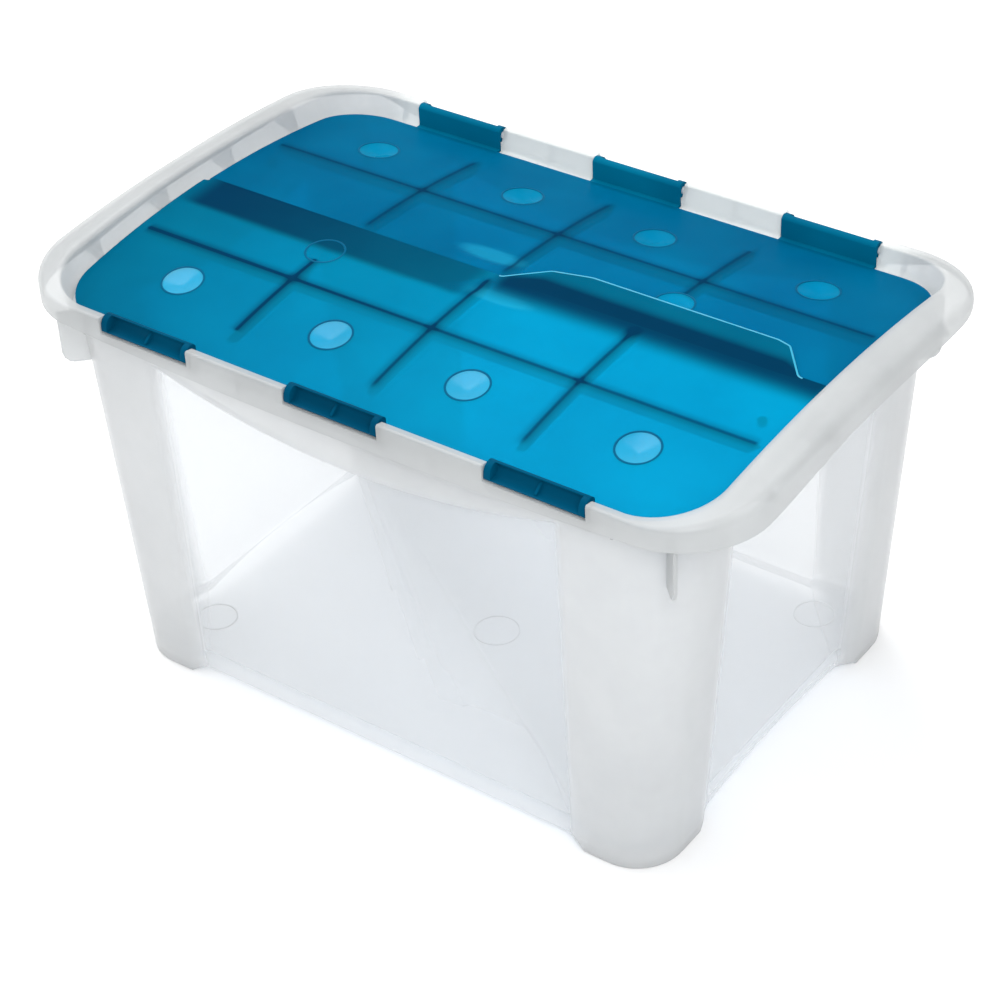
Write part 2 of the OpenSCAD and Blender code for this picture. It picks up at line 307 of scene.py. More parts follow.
def foot_line(kind, t):
    """Height of the wall's lower edge: a straight gap on the long sides, an arch on the short."""
    if kind == "long":
        return LONG_GAP_Z * ease((LONG_GAP - abs(t)) / 4.0)
    if kind == "short":
        r = chord(SHORT_GAP, SHORT_RISE)
        if abs(t) >= SHORT_GAP:
            return SHORT_GAP_Z * ease((SHORT_GAP + 3.0 - abs(t)) / 3.0)
        return SHORT_GAP_Z + SHORT_RISE - (r - math.sqrt(r * r - t * t))
    return 0.0


def place(z, i, inset):
    """Point i of the plan at height z, moved in by the recess and by inset."""
    key = round(z, 2)
    if key not in PLANS:
        PLANS[key] = body_plan(key)
    x, y, nx, ny, kind, t = PLANS[key][i]
    d = recess(kind, t, key) + inset
    return (x - nx * d, y - ny * d, z)


def rows(low):
    """Heights up each column, from its lowest point to the top, finer at the band's edge."""
    table = []
    for *_, kind, t in NOMINAL:
        start, line = low(kind, t), band_line(kind, t)
        below, above = line - EDGE_BELOW, line + EDGE_ABOVE
        zs = [lerp(start, below, k / PANEL_ROWS) for k in range(PANEL_ROWS)]
        zs += [lerp(below, above, k / EDGE_ROWS) for k in range(EDGE_ROWS)]
        zs += [lerp(above, WALL_TOP, k / (BAND_ROWS - 1)) for k in range(BAND_ROWS)]
        table.append(zs)
    return table


def tub_body():
    """One skin: under the floor, out round the foot, up the outside, down the inside, floor."""
    count = len(NOMINAL)
    outer_z = rows(foot_line)
    inner_z = rows(lambda kind, t: FLOOR_Z + WALL + FILLET)

    def loop(height, inset):
        return [place(height(i), i, inset) for i in range(count)]

    loops = [loop(lambda i: FLOOR_Z, WALL + 0.2), loop(lambda i: FLOOR_Z - 0.4, WALL)]
    for lift, inset in ((0.5, WALL), (0.0, WALL - 0.6), (0.0, 0.9), (0.9, 0.0)):
        loops.append(loop(lambda i: outer_z[i][0] + lift, inset))
    for r in range(1, len(outer_z[0])):
        loops.append(loop(lambda i: outer_z[i][r], 0.0))
    for r in reversed(range(len(inner_z[0]))):
        loops.append(loop(lambda i: inner_z[i][r], WALL))
    for k in range(1, 7):
        a = (math.pi / 2) * k / 6
        z = FLOOR_Z + WALL + FILLET * (1 - math.sin(a))
        loops.append(loop(lambda i: z, WALL + FILLET * (1 - math.cos(a))))
    return stack("tub_body", loops, angle=50.0)


# ---------------------------------------------------------------- rim
def rim_ring():
    """The rim before its notches: one closed section per plan point, from the wall up and over."""
    ledge = plan(TOP_L - WALL, TOP_W - WALL, TOP_R - WALL)
    mouth = plan(OPEN_L, OPEN_W, OPEN_R)
    outer = plan(HALF_L, HALF_W, RIM_R)
    columns = []
    for (lx, ly, *_), (mx, my, *_), (ox, oy, _, _, kind, t) in zip(ledge, mouth, outer):
        width = math.hypot(ox - mx, oy - my)
        ex, ey = (ox - mx) / width, (oy - my) / width
        wide = ease((width - NARROW) / WIDENING)
        off = min(1.0, abs(oy) / 150.0)
        round_out = lerp(1.8, lerp(12.0, 7.5, off), wide)
        round_in = lerp(1.8, 4.0, wide)
        fall, sink = lerp(0.2, lerp(7.0, 2.5, off), wide), lerp(2.6, 0.0, wide)
        skirt = SKIRT_END
        if kind == "long":
            skirt = SKIRT_MID + (SKIRT_END - SKIRT_MID) * (t / (HALF_L - RIM_R)) ** 2
        elif kind == "short":
            skirt += SKIRT_ARCH * ease(1 - abs(t) / (HALF_W - RIM_R)) ** 0.8
        skirt += FAR_LIFT * ease(oy / 170.0) * ease((abs(ox) - 205.0) / 60.0)

        def at(o, z):
            return (mx + ex * o, my + ey * o, z)

        def top(o):
            y = my + ey * o
            f = max(0.0, (o - LEAN - round_in) / (width - LEAN - round_in))
            return crest(y) - fall * f**1.7 - sink * (1 - f)

        col = [(lx, ly, WALL_TOP + 0.02), (lx, ly, LEDGE_TOP - 0.4)]
        col.append((lerp(lx, mx, 0.12), lerp(ly, my, 0.12), LEDGE_TOP))
        col += [at(0, LEDGE_TOP), at(0, LEDGE_TOP + 1.5)]
        col.append(at(LEAN * 0.5, lerp(LEDGE_TOP, top(0), 0.5)))
        for k in range(5):
            a = (math.pi / 2) * k / 4
            o = LEAN + round_in * (1 - math.cos(a))
            col.append(at(o, top(o) - round_in * (1 - math.sin(a))))
        for k in range(1, 6):
            o = lerp(LEAN + round_in, width - round_out, k / 6)
            col.append(at(o, top(o)))
        for k in range(7):
            a = (math.pi / 2) * k / 6
            o = width - round_out + round_out * math.sin(a)
            col.append(at(o, top(width - round_out) - round_out * (1 - math.cos(a))))
        edge = top(width - round_out) - round_out
        skirt = min(skirt, edge - LEAST_FACE)
        col.append(at(width, lerp(edge, skirt, 0.5)))
        col.append(at(width, skirt + 0.6))
        col.append(at(width - 0.7, skirt))
        col.append(at(width - RIM_WALL + 0.4, skirt))
        hollow_r = max(0.8, round_out - RIM_WALL)
        for k in reversed(range(5)):
            a = (math.pi / 2) * k / 4
            o = width - RIM_WALL - hollow_r * (1 - math.sin(a))
            base = top(width - round_out) - RIM_WALL - hollow_r
            col.append(at(o, base + hollow_r * math.cos(a)))
        for k in (4, 3, 2, 1):
            o = lerp(LEAN + RIM_WALL + 0.6, width - RIM_WALL - hollow_r, k / 5)
            col.append(at(o, top(o) - RIM_WALL))
        col.append(at(LEAN + RIM_WALL - 0.4, top(0) - RIM_WALL - 1.0))
        col.append(at(RIM_WALL, WALL_TOP + 0.02))
        columns.append(col)
    loops = [[col[k] for col in columns] for k in range(len(columns[0]))]
    return stack("tub_rim", loops, closed=True, angle=42.0)


def rim():
    """The ring with a thicker pad round each notch, then the notches cut out of it."""
    obj = rim_ring()
    pad = [(-188.6, 300.6), (-179.0, 300.6), (-179.4, 304.0), (-183.9, 319.0), (-188.6, 319.0)]
    notch = [(-193.0, 308.5), (-185.0, 308.5), (-185.0, 302.1)]
    notch += [(-171.0, 302.1), (-171.0, 350.0), (-193.0, 350.0)]
    for outline, half, kind, angle in (
        (pad, PAD_HALF, "UNION", 35.0),
        (notch, NOTCH_HALF, "DIFFERENCE", 42.0),
    ):
        for far in (False, True):
            for c in PLACES:
                block = prism_x("block", outline, c - half, c + half)
                carve(obj, turned(block) if far else block, kind, angle)
    bevel(obj, 0.45, 50.0, 42.0)
    return obj


def gussets():
    """Strengthening plates in the hollow of the rim, across its long and short sides."""
    low = [(-188.4, 301.0), (-180.6, 301.0), (-184.4, 315.0), (-186.4, 317.0), (-188.2, 315.0)]
    parts = []
    for far in (False, True):
        for x in GUSSET_X:
            part = prism_x("plate", low, x - GUSSET_HALF, x + GUSSET_HALF)
            parts.append(turned(part) if far else part)
        for y in GUSSET_Y:
            top = crest(y) - 3.2
            out = [(277.4, top - 1.4), (284.0, top - 2.6), (290.0, top - 6.5), (294.5, top - 12.0)]
            out += [(297.0, top - 16.0), (297.0, 312.0), (272.4, 304.0)]
            ends = (y - GUSSET_HALF, y + GUSSET_HALF)
            part = stack("plate", [[(x, yy, z) for x, z in out] for yy in ends])
            parts.append(turned(part) if far else part)
    return joined("rim_gussets", parts)


def fins():
    """An upright plate on each corner post, on the diagonal, with its edges eased."""
    cx, cy = TOP_L - TOP_R, TOP_W - TOP_R
    d = 1 / math.sqrt(2)
    flat = FIN_HALF - FIN_BEVEL
    layers = ((-FIN_HALF, FIN_BEVEL), (-flat, 0.0), (flat, 0.0), (FIN_HALF, FIN_BEVEL))
    parts = []
    for sx in (-1, 1):
        for sy in (-1, 1):
            tip, foot = FIN_NEAR if sy < 0 else FIN_FAR
            # o outwards, z up, then whether the point's outer and lower edges are eased
            profile = [
                (46.5, FIN_TOP, 0, 0),
                (tip, FIN_TOP, 1, 0),
                (tip, foot + 8.8, 1, 0),
                (tip - 1.4, foot + 4.4, 1, 1),
                (tip - 4.5, foot + 1.2, 1, 1),
                (tip - 8.0, foot, 1, 1),
                (44.2, foot, 0, 1),
            ]
            loops = []
            for off, shrink in layers:
                loop = []
                for o, z, outer, lower in profile:
                    o, z = o - shrink * outer, z + shrink * lower
                    loop.append((sx * (cx + o * d - off * d), sy * (cy + o * d + off * d), z))
                loops.append(loop)
            parts.append(stack("fin", loops))
    return joined("corner_fin_plates", parts)


def floor_rings():
    """Low raised rings on the floor, left there by the moulding."""
    parts = []
    for x, y, r in FLOOR_RINGS:
        section = ((r, 17.2), (r + 0.2, 17.8), (r + 0.9, 17.8), (r + 1.1, 17.2))
        loops = [[(x + o * c, y + o * s, z) for o, z in section] for c, s in circle(48)]
        parts.append(stack("ring", loops, closed=True))
    return joined("floor_moulding_rings", parts)


# ---------------------------------------------------------------- lid leaves
def arc_radius(apex):
    return chord(LEAF_EDGE, apex - LEAF_Z)


def arc_z(apex, y):
    """Height of the leaf's upper face at y."""
    r = arc_radius(apex)
    return apex - r + math.sqrt(r * r - y * y)


def rounded_path(points):
    """points are (x, y, radius); returns the outline with each corner turned on an arc."""
    out = []
    n = len(points)
    for i in range(n):
        px, py, _ = points[i - 1]
        cx, cy, r = points[i]
        nx, ny, _ = points[(i + 1) % n]
        a = Vector((px - cx, py - cy)).normalized()
        b = Vector((nx - cx, ny - cy)).normalized()
        if r <= 0:
            out.append((cx, cy))
            continue
        half = math.acos(max(-1.0, min(1.0, a.dot(b)))) / 2
        reach = r / math.tan(half)
        centre = Vector((cx, cy)) + (a + b).normalized() * (r / math.sin(half))
        start = Vector((cx, cy)) + a * reach - centre
        end = Vector((cx, cy)) + b * reach - centre
        a0, a1 = math.atan2(start.y, start.x), math.atan2(end.y, end.x)
        while a1 - a0 > math.pi:
            a1 -= 2 * math.pi
        while a1 - a0 < -math.pi:
            a1 += 2 * math.pi
        steps = max(3, int(abs(a1 - a0) / math.radians(6)))
        for k in range(steps + 1):
            t = lerp(a0, a1, k / steps)
            out.append((centre.x + r * math.cos(t), centre.y + r * math.sin(t)))
    return out


def leaf_outline():
    """Plan of a leaf: its hinge side at -y, its tongue reaching past the seam at y = 0."""
    pts = [
        (-LEAF_END, -LEAF_EDGE, LEAF_R),
        (LEAF_END, -LEAF_EDGE, LEAF_R),
        (LEAF_END, 0, 2.0),
        (246, 0, 6.0),
        (222, TONGUE - 3, 6.0),
        (211, TONGUE, 8.0),
        (60, TONGUE, 20.0),
        (31, TONGUE - 8, 8.0),
        (5, 0, 4.0),
        (-LEAF_END + 5, 0, 1.5),
        (-LEAF_END + 4, -4.4, 2.5),
        (-LEAF_END, -5.2, 1.0),
    ]
    return rounded_path(pts)


def scoop(x, y):
    """0 to 1 inside the wide shallow oval hollow for the fingers beside the seam."""
    u = math.hypot((x - SCOOP[0]) / SCOOP_SIZE[0], (y - SCOOP[1]) / SCOOP_SIZE[1])
    return 1 - ease((u - 0.55) / 0.45)


def leaf_slab(apex):
    """Curved sheet, cut later to its outline."""
    step_x, step_y, spare = 5.35, 2.6, 1.5
    nx = round(2 * (LEAF_END + spare) / step_x)
    ny = round((LEAF_EDGE + spare + TONGUE + 2) / step_y)
    r = arc_radius(apex)
    verts, faces = [], []
    for layer in (0.0, LEAF_THICK):
        for j in range(ny + 1):
            y = lerp(-LEAF_EDGE - spare, TONGUE + 2, j / ny)
            a = math.asin(y / r)
            for i in range(nx + 1):
                x = lerp(-LEAF_END - spare, LEAF_END + spare, i / nx)
                d = layer + SCOOP_DEPTH * scoop(x, y)
                verts.append((x, (r - d) * math.sin(a), apex - r + (r - d) * math.cos(a)))
    side = (nx + 1) * (ny + 1)
    for j in range(ny):
        for i in range(nx):
            a = j * (nx + 1) + i
            faces.append((a, a + 1, a + nx + 2, a + nx + 1))
            b = a + side
            faces.append((b, b + nx + 1, b + nx + 2, b + 1))
    for i in range(nx):
        faces.append((i, i + side, i + 1 + side, i + 1))
        a = ny * (nx + 1) + i
        faces.append((a, a + 1, a + 1 + side, a + side))
    for j in range(ny):
        a = j * (nx + 1)
        faces.append((a, a + nx + 1, a + nx + 1 + side, a + side))
        b = a + nx
        faces.append((b, b + side, b + nx + 1 + side, b + nx + 1))
    return put("slab", verts, faces)


def lathe(name, profile, steps=72):
    """Solid of revolution; the profile starts and ends on the axis."""
    verts = [(0, 0, profile[0][1]), (0, 0, profile[-1][1])]
    faces = []
    inner = profile[1:-1]
    for c, s in circle(steps):
        verts += [(o * c, o * s, z) for o, z in inner]
    n = len(inner)
    for k in range(steps):
        a, b = 2 + k * n, 2 + ((k + 1) % steps) * n
        faces.append((0, a, b))
        faces.append((1, b + n - 1, a + n - 1))
        for i in range(n - 1):
            faces.append((a + i, a + i + 1, b + i + 1, b + i))
    return put(name, verts, faces, 30.0)


def dish(deep, radius):
    """Shallow cone with a rounded foot: upper skin from the middle out, lower skin back in."""
    up = [(0, -deep), (radius * 0.12, -deep * 0.97), (radius * 0.4, -deep * 0.72)]
    up += [(radius * 0.75, -deep * 0.34), (radius * 0.94, -deep * 0.13), (radius, -0.18)]
    up += [(radius + 0.35, -0.12), (radius + 1.1, -0.5), (radius + 1.1, -1.5)]
    low = [(radius, -1.6), (radius * 0.72, -deep * 0.38 - 1.1)]
    low += [(radius * 0.4, -deep * 0.72 - 1.1), (0, -deep - 1.1)]
    return lathe("dish", up + low)


def at_leaf(obj, apex, x, y):
    """Moves a piece made round the origin onto the leaf at (x, y), square to its face."""
    r = arc_radius(apex)
    a = math.asin(y / r)
    place_at = Vector((x, r * math.sin(a), apex - r + r * math.cos(a))) * MM
    obj.data.transform(Matrix.Translation(place_at) @ Matrix.Rotation(-a, 4, "X"))
    return obj


def leaf_panel(name, apex, seam_depth, panel_mat, dish_mat):
    """One leaf: slab cut to its outline, holes filled by dishes, materials, and a painted highlight
    on its cut edges and in the finger scoop.
    """
    obj = leaf_slab(apex)
    obj.name = name
    carve(obj, prism_z("outline", leaf_outline(), 270, 350), "INTERSECT")
    for x, y, radius in DISHES:
        hole = prism_z("hole", [(radius * c, radius * s) for c, s in circle(72)], -8, 8)
        carve(obj, at_leaf(hole, apex, x, y))
    for x, y, radius in DISHES:
        depth = seam_depth if (x, y, radius) == SEAM_DISH else DIMPLE_DEPTH
        carve(obj, at_leaf(dish(depth, radius), apex, x, y), "UNION", 30.0)

    def from_dish(x, y):
        """Distance from the nearest dish, 1 at its rim."""
        return min(math.hypot(x - sx, y - sy) / radius for sx, sy, radius in DISHES)

    thin = obj.data.attributes.new("thin", "FLOAT", "CORNER")
    values = [0.0] * len(obj.data.loops)
    for mat in (panel_mat, dish_mat):
        obj.data.materials.append(mat)
    for face in obj.data.polygons:
        x, y, _ = (c / MM for c in face.center)
        near = from_dish(x, y)
        corners = [obj.data.vertices[k].co / MM for k in face.vertices]
        reach = max(from_dish(v.x, v.y) for v in corners)
        # the front leaf's shallow seam dish keeps the panel plastic, so the painted seam shade lies
        # over it
        lit = y < SEAM_SIDE or seam_depth > SHALLOW  # a shallow seam dish looks like the panel
        face.material_index = 1 if near < 0.985 and reach < 1.02 and lit else 0
        # painted highlight: lighter on the slab's cut edges and in the finger scoop
        side = abs(face.normal.z) < 0.3 and near > 1.2
        for k, v in zip(face.loop_indices, corners):
            values[k] = 0.8 if side else 0.4 * scoop(v.x, v.y + 2.0)
    thin.data.foreach_set("value", values)
    return obj


def rib_run(points, apex, across):
    """Upright plate under the leaf through (x, y, depth) points; across is its thin direction."""
    loops = []
    for x, y, depth in points:
        z = arc_z(apex, y)
        loop = []
        for half, low in ((0.95, 1.3), (0.6, depth + 1.7), (-0.6, depth + 1.7), (-0.95, 1.3)):
            loop.append((x + half * across[0], y + half * across[1], z - low))
        loops.append(loop)
    return stack("rib", loops)


def ribs(name, apex):
    """One rib along the leaf and three across it, tapering away at their ends."""

    def depth_at(t, a, b):
        return RIB_DEPTH * ease(min(t - a, b - t) / 12.0 + 0.25)

    run = [-RIB_END + 2 * RIB_END * k / 60 for k in range(61)]
    points = [(x, RIB_Y, depth_at(x, -RIB_END, RIB_END)) for x in run]
    parts = [rib_run(points, apex, (0, 1))]
    for at, stop in zip(RIB_X, RIB_STOPS):
        run = [lerp(RIB_START, stop, k / 30) for k in range(31)]
        points = [(at, y, depth_at(y, RIB_START, stop)) for y in run]
        parts.append(rib_run(points, apex, (1, 0)))
    return joined(name, parts)


def dish_rims(name, apex):
    """Fine raised rings round the dishes, and the small peg under the leaf."""
    section = ((-0.3, -0.5), (-0.25, -0.02), (0.2, 0.14), (1.0, 0.1), (1.3, -0.05), (1.3, -0.5))
    parts = []
    for x, y, radius in DISHES:
        ring = [(radius + o, z) for o, z in section]
        loops = [[(o * c, o * s, z) for o, z in ring] for c, s in circle(72)]
        parts.append(at_leaf(stack("ring", loops, closed=True), apex, x, y))
    peg = lathe("peg", [(0, -1.2), (3.4, -1.2), (3.0, -5.6), (2.4, -6.2), (0, -6.2)], 24)
    parts.append(at_leaf(peg, apex, *PEG))
    return joined(name, parts)


def seam_bead(name, apex):
    """Fine rounded bead that finishes the free edge of the tongue."""
    section = ((0.15, -0.4), (0.2, 0.05), (0.6, 0.3), (1.1, 0.3), (1.5, 0.05), (1.55, -0.4))
    path = [p for p in leaf_outline() if p[0] > 3.0 and p[1] > -0.5 and p[0] < 264.0]
    fine = []
    for (ax, ay), (bx, by) in zip(path, path[1:]):
        n = max(1, round(math.hypot(bx - ax, by - ay) / 6))
        fine += [(lerp(ax, bx, k / n), lerp(ay, by, k / n)) for k in range(n)]
    fine.append(path[-1])
    loops = []
    for k, (x, y) in enumerate(fine):
        ax, ay = fine[max(0, k - 1)]
        bx, by = fine[min(len(fine) - 1, k + 1)]
        run = math.hypot(bx - ax, by - ay)
        nx, ny = (by - ay) / run, -(bx - ax) / run
        if nx * (120 - x) + ny * (-80 - y) < 0:
            nx, ny = -nx, -ny
        across = [(x + nx * o, y + ny * o, h) for o, h in section]
        loops.append([(px, py, arc_z(apex, py) + h) for px, py, h in across])
    return stack(name, loops)


def knuckle(name, c):
    """Open trough with a rounded lip, closed by a web at each end and a small one in the middle."""

    def about_pin(points):
        return [(u - HINGE_Y, HINGE_Z + v) for u, v in points]

    wall = [(3.7, 4.1), (2.6, 5.2), (0.9, 6.0), (0.6, 6.5), (1.0, 6.9), (2.6, 6.6)]
    wall += [(4.0, 5.8), (5.0, 4.7), (5.4, 3.6)]
    back = [(5.4, -10.3), (5.6, -10.4), (9.6, -10.4), (9.6, -12.4), (4.3, -12.4), (3.8, -12.0)]
    under = [(3.8, -3.6), (2.6, -4.4), (-0.8, -4.9), (-5.2, -5.0), (-5.7, -4.7)]
    lip = [(-6.3, -4.0), (-6.3, -3.7), (-6.0, -3.5), (-3.0, -3.5), (-0.6, -3.1), (1.0, -2.4)]
    cove = [(2.3, -1.3), (3.2, 0.2), (3.7, 2.2)]
    outline = about_pin(wall + back + under + lip + cove)
    obj = prism_x(name, outline, c - KNUCKLE_HALF, c + KNUCKLE_HALF)
    end = [(5.3, 4.2), (3.9, 5.7), (1.2, 6.8), (-1.8, 6.3), (-4.2, 4.6), (-5.8, 1.9)]
    end += [(-6.3, -1.2), (-6.2, -4.1), (-4.0, -5.0), (3.0, -5.0), (5.0, -2.0)]
    for x in (c - KNUCKLE_HALF, c + KNUCKLE_HALF - WEB_WIDTH):
        carve(obj, prism_x("web", about_pin(end), x, x + WEB_WIDTH), "UNION")
    mid = [(4.2, 3.0), (1.0, 1.8), (-4.5, -2.2), (-4.6, -4.2), (4.2, -3.2)]
    carve(obj, prism_x("mid", about_pin(mid), c - 1, c + 1), "UNION")
    bore = about_pin([(BORE_R * a, BORE_R * b) for a, b in circle(40)])
    for x in (c - NOTCH_HALF, c + NOTCH_HALF - BORE_LENGTH):
        carve(obj, prism_x("bore", bore, x, x + BORE_LENGTH))
    bevel(obj, 0.3, 50.0)
    return obj


# ---------------------------------------------------------------- materials
def nodes_of(name):
    """A new material and its empty node tree."""
    mat = bpy.data.materials.new(name)
    mat.use_nodes = True
    tree = mat.node_tree
    tree.nodes.clear()
    return mat, tree


def add(tree, kind, **values):
    """A node with its settings; in_Some_Name gives the value of the input Some Name."""
    node = tree.nodes.new(kind)
    for key, value in values.items():
        if key.startswith("in_"):
            node.inputs[key[3:].replace("_", " ")].default_value = value
        else:
            setattr(node, key, value)
    return node


def grain(tree, scale, detail=3.0):
    coords = add(tree, "ShaderNodeTexCoord")
    noise = add(tree, "ShaderNodeTexNoise", in_Scale=scale, in_Detail=detail, in_Roughness=0.55)
    tree.links.new(coords.outputs["Object"], noise.inputs["Vector"])
    return noise


def remap(tree, source, start, stop, low, high, curve="LINEAR"):
    """Takes source from start..stop to low..high."""
    node = add(tree, "ShaderNodeMapRange", interpolation_type=curve)
    ends = ("From Min", "From Max", "To Min", "To Max")
    for socket, value in zip(ends, (start, stop, low, high)):
        node.inputs[socket].default_value = value
    tree.links.new(source, node.inputs["Value"])
    return node.outputs["Result"]


def spread_to(tree, source, low, high):
    """Stretches the middle of a noise over low..high."""
    return remap(tree, source, 0.3, 0.7, low, high)


def calc(tree, kind, *values):
    """A math node; each value is a number or a socket."""
    node = add(tree, "ShaderNodeMath", operation=kind)
    for k, value in enumerate(values):
        if isinstance(value, float):
            node.inputs[k].default_value = value
        else:
            tree.links.new(value, node.inputs[k])
    return node.outputs[0]


def mixed(tree, factor, a, b):
    """Colour a, turning to colour b as factor goes to 1; a may be a socket."""
    node = add(tree, "ShaderNodeMix", data_type="RGBA")
    tree.links.new(factor, node.inputs["Factor"])
    if isinstance(a, tuple):
        node.inputs["A"].default_value = (*a, 1)
    else:
        tree.links.new(a, node.inputs["A"])
    node.inputs["B"].default_value = (*b, 1)
    return node.outputs["Result"]


def plastic(name, dark, light, opacity, tint, rough, bump=0.06, shine=0.5, edge=0.15, mask=None):
    """Moulded translucent plastic: a scattering surface over a tinted clear one.

    edge is how much more opaque it gets at grazing angles. mask is (attribute, opacity where it
    is 1, colour where it is 1)."""
    mat, tree = nodes_of(name)
    link = tree.links.new
    broad = grain(tree, 9.0, 2.0).outputs["Fac"]
    fine = grain(tree, 420.0, 2.0).outputs["Fac"]
    blotch = grain(tree, 30.0, 2.0).outputs["Fac"]
    shade = mixed(tree, spread_to(tree, broad, 0.0, 1.0), dark, light)
    see = spread_to(tree, blotch, opacity * 0.97, min(1.0, opacity * 1.03))
    if mask:
        attribute, masked_opacity, masked_colour = mask
        amount = add(tree, "ShaderNodeAttribute", attribute_name=attribute).outputs["Fac"]
        shade = mixed(tree, amount, shade, masked_colour)
        clear = add(tree, "ShaderNodeMix", data_type="FLOAT")
        link(amount, clear.inputs["Factor"])
        link(see, clear.inputs["A"])
        clear.inputs["B"].default_value = masked_opacity
        see = clear.outputs["Result"]
    relief = add(tree, "ShaderNodeBump", in_Strength=bump, in_Distance=0.0004)
    link(fine, relief.inputs["Height"])
    skin = add(tree, "ShaderNodeBsdfPrincipled", in_IOR=1.49 if shine > 0.1 else 1.2)
    skin.inputs["Specular IOR Level"].default_value = shine
    link(shade, skin.inputs["Base Color"])
    link(spread_to(tree, blotch, rough * 0.88, rough * 1.12), skin.inputs["Roughness"])
    link(relief.outputs["Normal"], skin.inputs["Normal"])
    clear_skin = add(tree, "ShaderNodeBsdfTransparent", in_Color=(*tint, 1))
    facing = add(tree, "ShaderNodeLayerWeight", in_Blend=0.35).outputs["Facing"]
    boost = add(tree, "ShaderNodeMath", operation="MULTIPLY_ADD", use_clamp=True)
    boost.inputs[1].default_value = edge
    link(facing, boost.inputs[0])
    link(see, boost.inputs[2])
    blend = add(tree, "ShaderNodeMixShader")
    for source, socket in ((boost, 0), (clear_skin, 1), (skin, 2)):
        link(source.outputs[0], blend.inputs[socket])
    out = add(tree, "ShaderNodeOutputMaterial")
    link(blend.outputs[0], out.inputs["Surface"])
    return mat


def away(tree, coord, at):
    """Distance of a coordinate from at."""
    return calc(tree, "ABSOLUTE", calc(tree, "SUBTRACT", coord, at * MM))


def band(tree, coord, at, width, weight):
    """weight on the line coord = at, fading to 0 over width on both sides."""
    return remap(tree, away(tree, coord, at), 0.0, width * MM, weight, 0.0, "SMOOTHERSTEP")


def between(tree, coord, low, high, soft):
    """1 inside low..high, fading to 0 over soft outside it."""
    half = (high - low) / 2
    start, stop = half * MM, (half + soft) * MM
    return remap(tree, away(tree, coord, (low + high) / 2), start, stop, 1.0, 0.0, "SMOOTHSTEP")


def place_axes(tree):
    """Sockets with the x and y of the shaded point on the object."""
    coords = add(tree, "ShaderNodeTexCoord")
    axes = add(tree, "ShaderNodeSeparateXYZ")
    tree.links.new(coords.outputs["Object"], axes.inputs["Vector"])
    return axes.outputs["X"], axes.outputs["Y"]


def rib_line(tree, coord, at):
    """Painted shade over a rib: a dark line, with a softer painted shade beside it."""
    return calc(tree, "ADD", band(tree, coord, at, 2.8, 0.48), band(tree, coord, at, 9.0, 0.34))


def painted_lid_shade(tree, sign):
    """How much painted shade darkens the blue: over the ribs and, on the front leaf, painted shadow
    beside the lapped seam, shade where the tongues lap and darkening towards the left end.
    """
    x, y = (calc(tree, "MULTIPLY", axis, float(sign)) for axis in place_axes(tree))
    parts = []
    for at in RIB_X:
        reach = (-51.0, 3.0) if at < 0 else (-14.0, 10.0)
        across = between(tree, y, -138.0, *reach)
        parts.append((rib_line(tree, x, at), across, 1.0))
    parts.append((rib_line(tree, y, RIB_Y), between(tree, x, -258.0, 258.0, 4.0), 1.0))
    if sign > 0:
        # painted shadow of the rear leaf's edge beside the seam, and painted shade where the
        # tongues lap over the other leaf
        seam_shadow = band(tree, y, -4.0, 28.0, 1.0)
        own_tongue_shade = between(tree, y, -1.0, 31.0, 3.0)
        rear_tongue_shade = between(tree, y, -31.0, -1.0, 8.0)
        parts.append((seam_shadow, between(tree, x, 14.0, 262.0, 20.0), 0.95))
        parts.append((own_tongue_shade, between(tree, x, 36.0, 226.0, 24.0), 0.5))
        parts.append((rear_tongue_shade, between(tree, x, -246.0, -18.0, 26.0), 0.55))
    total = None
    for a, b, weight in parts:
        part = calc(tree, "MULTIPLY", calc(tree, "MULTIPLY", a, b), weight)
        total = part if total is None else calc(tree, "ADD", total, part)
    if sign > 0:
        # painted shade: the front leaf darker towards its left end
        left_end_shade = remap(tree, x, -0.27, 0.1, 0.46, 0.0, "SMOOTHSTEP")
        total = calc(tree, "ADD", total, left_end_shade)
    return calc(tree, "MINIMUM", total, 1.0)


def shader(mat, kind):
    return next(n for n in mat.node_tree.nodes if n.type == kind)


def repaint(mat, factor, colour):
    """Turns the surface colour to another one as factor goes to 1."""
    base = shader(mat, "BSDF_PRINCIPLED").inputs["Base Color"]
    tree = mat.node_tree
    tree.links.new(mixed(tree, factor, base.links[0].from_socket, colour), base)


def paint_lid_shade(mat, sign, deep):
    """Paints shade into a lid plastic: darkens its surface colour and its tint over the ribs and by
    the lapped seam.
    """
    tree = mat.node_tree
    amount = painted_lid_shade(tree, sign)
    repaint(mat, amount, deep)
    tint = shader(mat, "BSDF_TRANSPARENT").inputs["Color"]
    shade_tint = (deep[0], deep[1] * 1.4, deep[2] * 1.4)
    tree.links.new(mixed(tree, amount, tuple(tint.default_value)[:3], shade_tint), tint)


def paler_behind(mat, colour):
    """Lightens the surface colour on the far long side, where less light arrives."""
    tree = mat.node_tree
    x, y = place_axes(tree)
    middle, behind = between(tree, x, -205.0, 205.0, 40.0), between(tree, y, 120.0, 400.0, 60.0)
    repaint(mat, calc(tree, "MULTIPLY", behind, middle), colour)


CLEAR = ("clear", 0.17, (0.86, 0.867, 0.87))
# lighter, more opaque blue: a painted highlight on edges and in the scoop
PAINTED_GLINT = ("thin", 0.75, (0.02, 0.45, 0.66))
# colour of the painted shade on the lid
SHADE_BLUE = (0.0, 0.055, 0.135)
FROSTED = (0.97, 0.975, 0.98)

